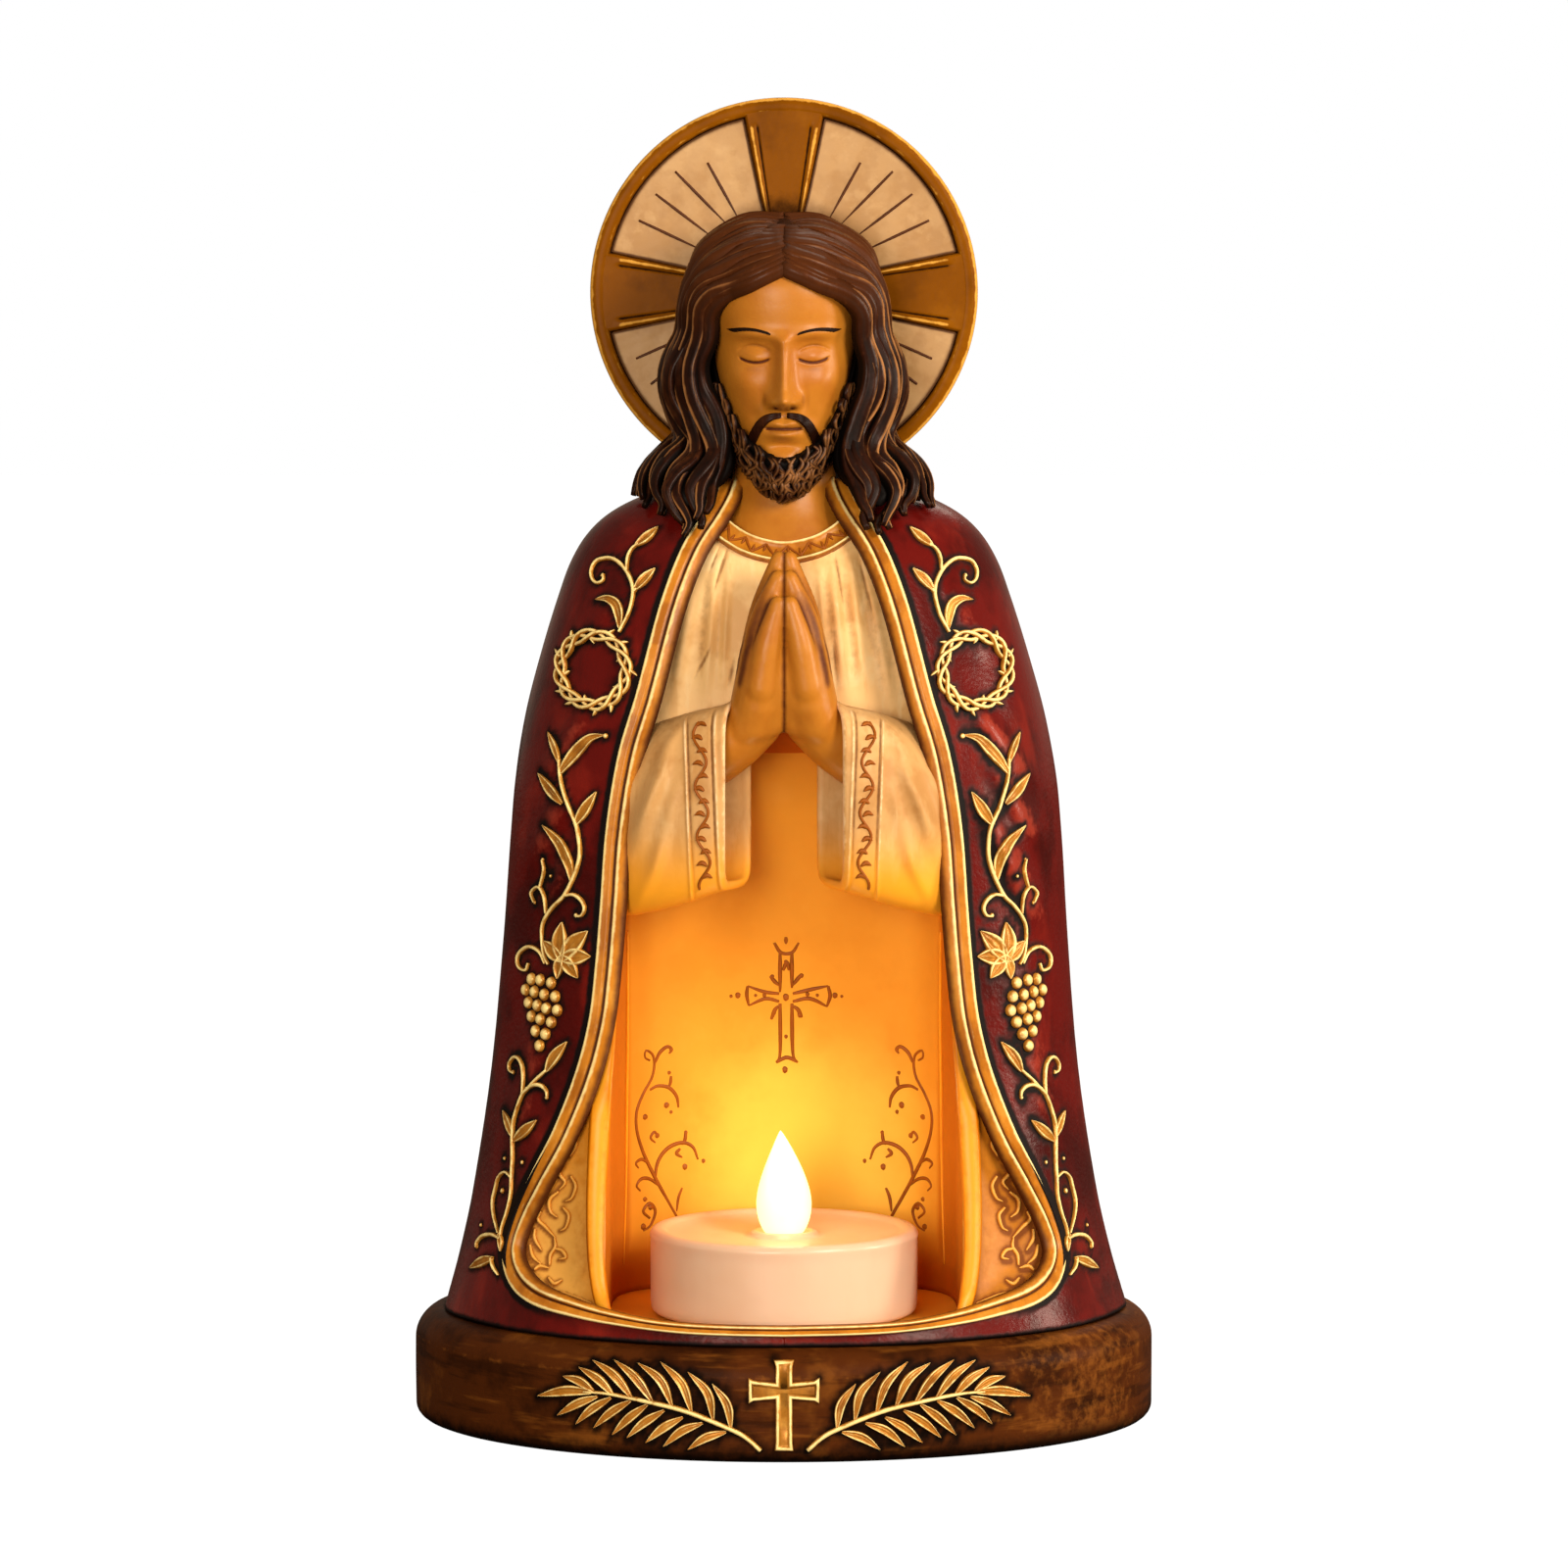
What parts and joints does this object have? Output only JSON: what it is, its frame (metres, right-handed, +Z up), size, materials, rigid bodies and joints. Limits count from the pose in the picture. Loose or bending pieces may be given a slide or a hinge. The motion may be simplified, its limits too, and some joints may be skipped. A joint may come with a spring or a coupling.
{
  "type": "praying figure tea light holder",
  "caption": "Painted resin tea light holder: a haloed, bearded praying figure on an oval plinth, its open mantle a lit niche for a flameless candle.",
  "frame": {"origin": "middle of the plinth's flat underside", "axes": "+Z up along the figure, which faces -Y; +X is the viewer's right"},
  "size_m": [0.1058, 0.0826, 0.1886],
  "materials": {
    "plinth_brown": "satin painted resin, brushed dark over lighter brown",
    "mantle_red": "satin painted resin with a dark wash",
    "antique_gold": "satin gilt paint, brighter on raised edges",
    "robe_cream": "matte painted resin with a warm wash",
    "skin_tan": "satin painted resin",
    "hair_brown": "satin painted resin, dry-brushed lighter on the ridges",
    "halo_cream": "matte painted panels with dark incised rays",
    "candle_plastic": "smooth moulded plastic",
    "flame_plastic": "translucent lamp cap, lit"
  },
  "bodies": {
    "root": {"plinth": "plinth_brown", "figure": "mantle_red", "halo": "antique_gold", "candle_case": "candle_plastic", "candle_flame": "flame_plastic"}
  },
  "joints": []
}
